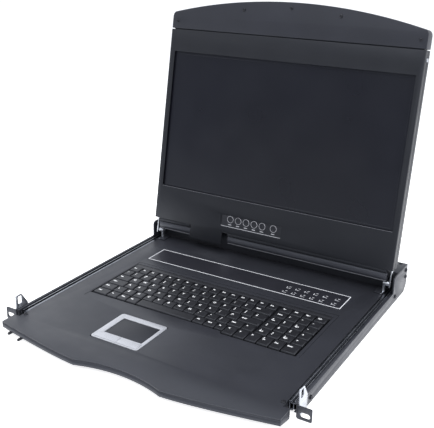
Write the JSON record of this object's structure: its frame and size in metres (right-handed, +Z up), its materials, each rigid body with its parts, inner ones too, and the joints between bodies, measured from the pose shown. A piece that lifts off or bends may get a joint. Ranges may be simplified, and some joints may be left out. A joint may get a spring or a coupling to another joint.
{
  "type": "kvm switch",
  "caption": "Rack console drawer: tray with keyboard and touchpad on ball slides, folding wide display, and a switch box behind.",
  "frame": {"origin": "middle of the bounding box's footprint, on the chassis underside", "axes": "+Z up, +Y towards the back of the rack, +X to the right seen from the front"},
  "size_m": [0.4826, 0.487, 0.43],
  "materials": {
    "satin_black_steel": "satin black powder coat",
    "zinc_steel": "bright zinc plated",
    "black_plastic": "fine moulded",
    "key_plastic": "fine moulded",
    "silver_plastic": "silver paint",
    "touchpad_pad": "fine textured film",
    "screen_glass": "anti-glare",
    "overlay_film": "printed polyester film",
    "circuit_board": "solder mask",
    "connector_metal": "nickel plated"
  },
  "bodies": {
    "chassis": {"side_plate_left": "satin_black_steel", "side_plate_right": "satin_black_steel", "rack_ear_left": "satin_black_steel", "rack_ear_right": "satin_black_steel", "latch_striker_left": "zinc_steel", "latch_striker_right": "zinc_steel", "slide_outer_left": "zinc_steel", "slide_outer_right": "zinc_steel", "rear_case_base": "satin_black_steel", "rear_panel": "satin_black_steel", "rear_case_cover": "satin_black_steel", "switch_board": "circuit_board", "port_connectors": "connector_metal", "power_supply": "circuit_board", "power_inlet": "black_plastic"},
    "power_rocker": {"power_rocker": "black_plastic"},
    "middle_slide_left": {"slide_middle_left": "zinc_steel"},
    "middle_slide_right": {"slide_middle_right": "zinc_steel"},
    "drawer": {"slide_inner_left": "zinc_steel", "slide_inner_right": "zinc_steel", "tray_pan": "satin_black_steel", "tray_deck": "satin_black_steel", "palm_rest_base": "satin_black_steel", "keyboard_base": "black_plastic", "touchpad_bezel": "silver_plastic", "touchpad_surface": "touchpad_pad", "control_strip": "overlay_film", "control_board": "circuit_board", "hinge_bracket_left": "zinc_steel", "hinge_bracket_right": "zinc_steel"},
    "release_lever": {"release_lever": "black_plastic"},
    "touchpad_button_left": {"touchpad_button_left": "silver_plastic"},
    "touchpad_button_right": {"touchpad_button_right": "silver_plastic"},
    "display": {"display_bezel": "satin_black_steel", "display_back_cover": "satin_black_steel", "display_cap": "satin_black_steel", "lcd_panel": "screen_glass", "osd_panel": "black_plastic", "driver_board": "circuit_board", "hinge_cover_left": "satin_black_steel", "hinge_cover_right": "satin_black_steel", "hinge_leaf_left": "zinc_steel", "hinge_leaf_right": "zinc_steel"},
    "latch_bolt_left": {"latch_bolt_left": "zinc_steel"},
    "latch_bolt_right": {"latch_bolt_right": "zinc_steel"},
    "keys_bottom_left": {"keys_bottom_left": "key_plastic"},
    "key_space": {"key_space": "key_plastic"},
    "keys_bottom_right": {"keys_bottom_right": "key_plastic"},
    "keys_shift_row": {"keys_shift_row": "key_plastic"},
    "keys_home_row": {"keys_home_row": "key_plastic"},
    "keys_upper_row": {"keys_upper_row": "key_plastic"},
    "keys_number_row": {"keys_number_row": "key_plastic"},
    "keys_function_row": {"keys_function_row": "key_plastic"},
    "osd_button_1": {"osd_button_1": "black_plastic"},
    "osd_button_2": {"osd_button_2": "black_plastic"},
    "osd_button_3": {"osd_button_3": "black_plastic"},
    "osd_button_4": {"osd_button_4": "black_plastic"},
    "osd_button_5": {"osd_button_5": "black_plastic"},
    "osd_button_6": {"osd_button_6": "black_plastic"}
  },
  "joints": [
    {"name": "drawer_slide", "type": "slide", "parent": "chassis", "child": "drawer", "axis": [0, -1, 0], "range_m": [0, 0.37]},
    {"name": "middle_slide_left_run", "type": "slide", "parent": "chassis", "child": "middle_slide_left", "axis": [0, -1, 0], "range_m": [0, 0.186]},
    {"name": "middle_slide_right_run", "type": "slide", "parent": "chassis", "child": "middle_slide_right", "axis": [0, -1, 0], "range_m": [0, 0.186]},
    {"name": "display_hinge", "type": "hinge", "parent": "drawer", "child": "display", "pos_m": [0, 0.15913, 0.0296], "axis": [1, 0, 0], "range_deg": [-12, 100.4]},
    {"name": "release_lever_press", "type": "slide", "parent": "drawer", "child": "release_lever", "axis": [0, 1, 0], "range_m": [0, 0.004], "stiffness_N_per_m": 300, "springref_m": -0.003},
    {"name": "power_rocker_swing", "type": "hinge", "parent": "chassis", "child": "power_rocker", "pos_m": [-0.143, 0.21093, 0.021], "axis": [1, 0, 0], "range_deg": [0, 16]},
    {"name": "latch_bolt_left_throw", "type": "slide", "parent": "display", "child": "latch_bolt_left", "axis": [-1, 0, 0], "range_m": [0, 0.0052]},
    {"name": "touchpad_button_left_press", "type": "slide", "parent": "drawer", "child": "touchpad_button_left", "axis": [0, 0, -1], "range_m": [0, 0.0008], "stiffness_N_per_m": 900, "springref_m": -0.001},
    {"name": "latch_bolt_right_throw", "type": "slide", "parent": "display", "child": "latch_bolt_right", "axis": [1, 0, 0], "range_m": [0, 0.0052]},
    {"name": "touchpad_button_right_press", "type": "slide", "parent": "drawer", "child": "touchpad_button_right", "axis": [0, 0, -1], "range_m": [0, 0.0008], "stiffness_N_per_m": 900, "springref_m": -0.001},
    {"name": "keys_bottom_left_press", "type": "slide", "parent": "drawer", "child": "keys_bottom_left", "axis": [0, 0, -1], "range_m": [0, 0.002], "stiffness_N_per_m": 700, "springref_m": -0.0015},
    {"name": "key_space_press", "type": "slide", "parent": "drawer", "child": "key_space", "axis": [0, 0, -1], "range_m": [0, 0.002], "stiffness_N_per_m": 700, "springref_m": -0.0015},
    {"name": "keys_bottom_right_press", "type": "slide", "parent": "drawer", "child": "keys_bottom_right", "axis": [0, 0, -1], "range_m": [0, 0.002], "stiffness_N_per_m": 700, "springref_m": -0.0015},
    {"name": "keys_shift_row_press", "type": "slide", "parent": "drawer", "child": "keys_shift_row", "axis": [0, 0, -1], "range_m": [0, 0.002], "stiffness_N_per_m": 700, "springref_m": -0.0015},
    {"name": "keys_home_row_press", "type": "slide", "parent": "drawer", "child": "keys_home_row", "axis": [0, 0, -1], "range_m": [0, 0.002], "stiffness_N_per_m": 700, "springref_m": -0.0015},
    {"name": "keys_upper_row_press", "type": "slide", "parent": "drawer", "child": "keys_upper_row", "axis": [0, 0, -1], "range_m": [0, 0.002], "stiffness_N_per_m": 700, "springref_m": -0.0015},
    {"name": "keys_number_row_press", "type": "slide", "parent": "drawer", "child": "keys_number_row", "axis": [0, 0, -1], "range_m": [0, 0.002], "stiffness_N_per_m": 700, "springref_m": -0.0015},
    {"name": "keys_function_row_press", "type": "slide", "parent": "drawer", "child": "keys_function_row", "axis": [0, 0, -1], "range_m": [0, 0.002], "stiffness_N_per_m": 700, "springref_m": -0.0015},
    {"name": "osd_button_1_press", "type": "slide", "parent": "display", "child": "osd_button_1", "axis": [0, 0.9834, -0.1815], "range_m": [0, 0.001], "stiffness_N_per_m": 900, "springref_m": -0.001},
    {"name": "osd_button_2_press", "type": "slide", "parent": "display", "child": "osd_button_2", "axis": [0, 0.9834, -0.1815], "range_m": [0, 0.001], "stiffness_N_per_m": 900, "springref_m": -0.001},
    {"name": "osd_button_3_press", "type": "slide", "parent": "display", "child": "osd_button_3", "axis": [0, 0.9834, -0.1815], "range_m": [0, 0.001], "stiffness_N_per_m": 900, "springref_m": -0.001},
    {"name": "osd_button_4_press", "type": "slide", "parent": "display", "child": "osd_button_4", "axis": [0, 0.9834, -0.1815], "range_m": [0, 0.001], "stiffness_N_per_m": 900, "springref_m": -0.001},
    {"name": "osd_button_5_press", "type": "slide", "parent": "display", "child": "osd_button_5", "axis": [0, 0.9834, -0.1815], "range_m": [0, 0.001], "stiffness_N_per_m": 900, "springref_m": -0.001},
    {"name": "osd_button_6_press", "type": "slide", "parent": "display", "child": "osd_button_6", "axis": [0, 0.9834, -0.1815], "range_m": [0, 0.001], "stiffness_N_per_m": 900, "springref_m": -0.001}
  ],
  "couplings": [
    {"joint": "middle_slide_left_run", "follows": "drawer_slide", "ratio": 0.5},
    {"joint": "middle_slide_right_run", "follows": "drawer_slide", "ratio": 0.5}
  ]
}
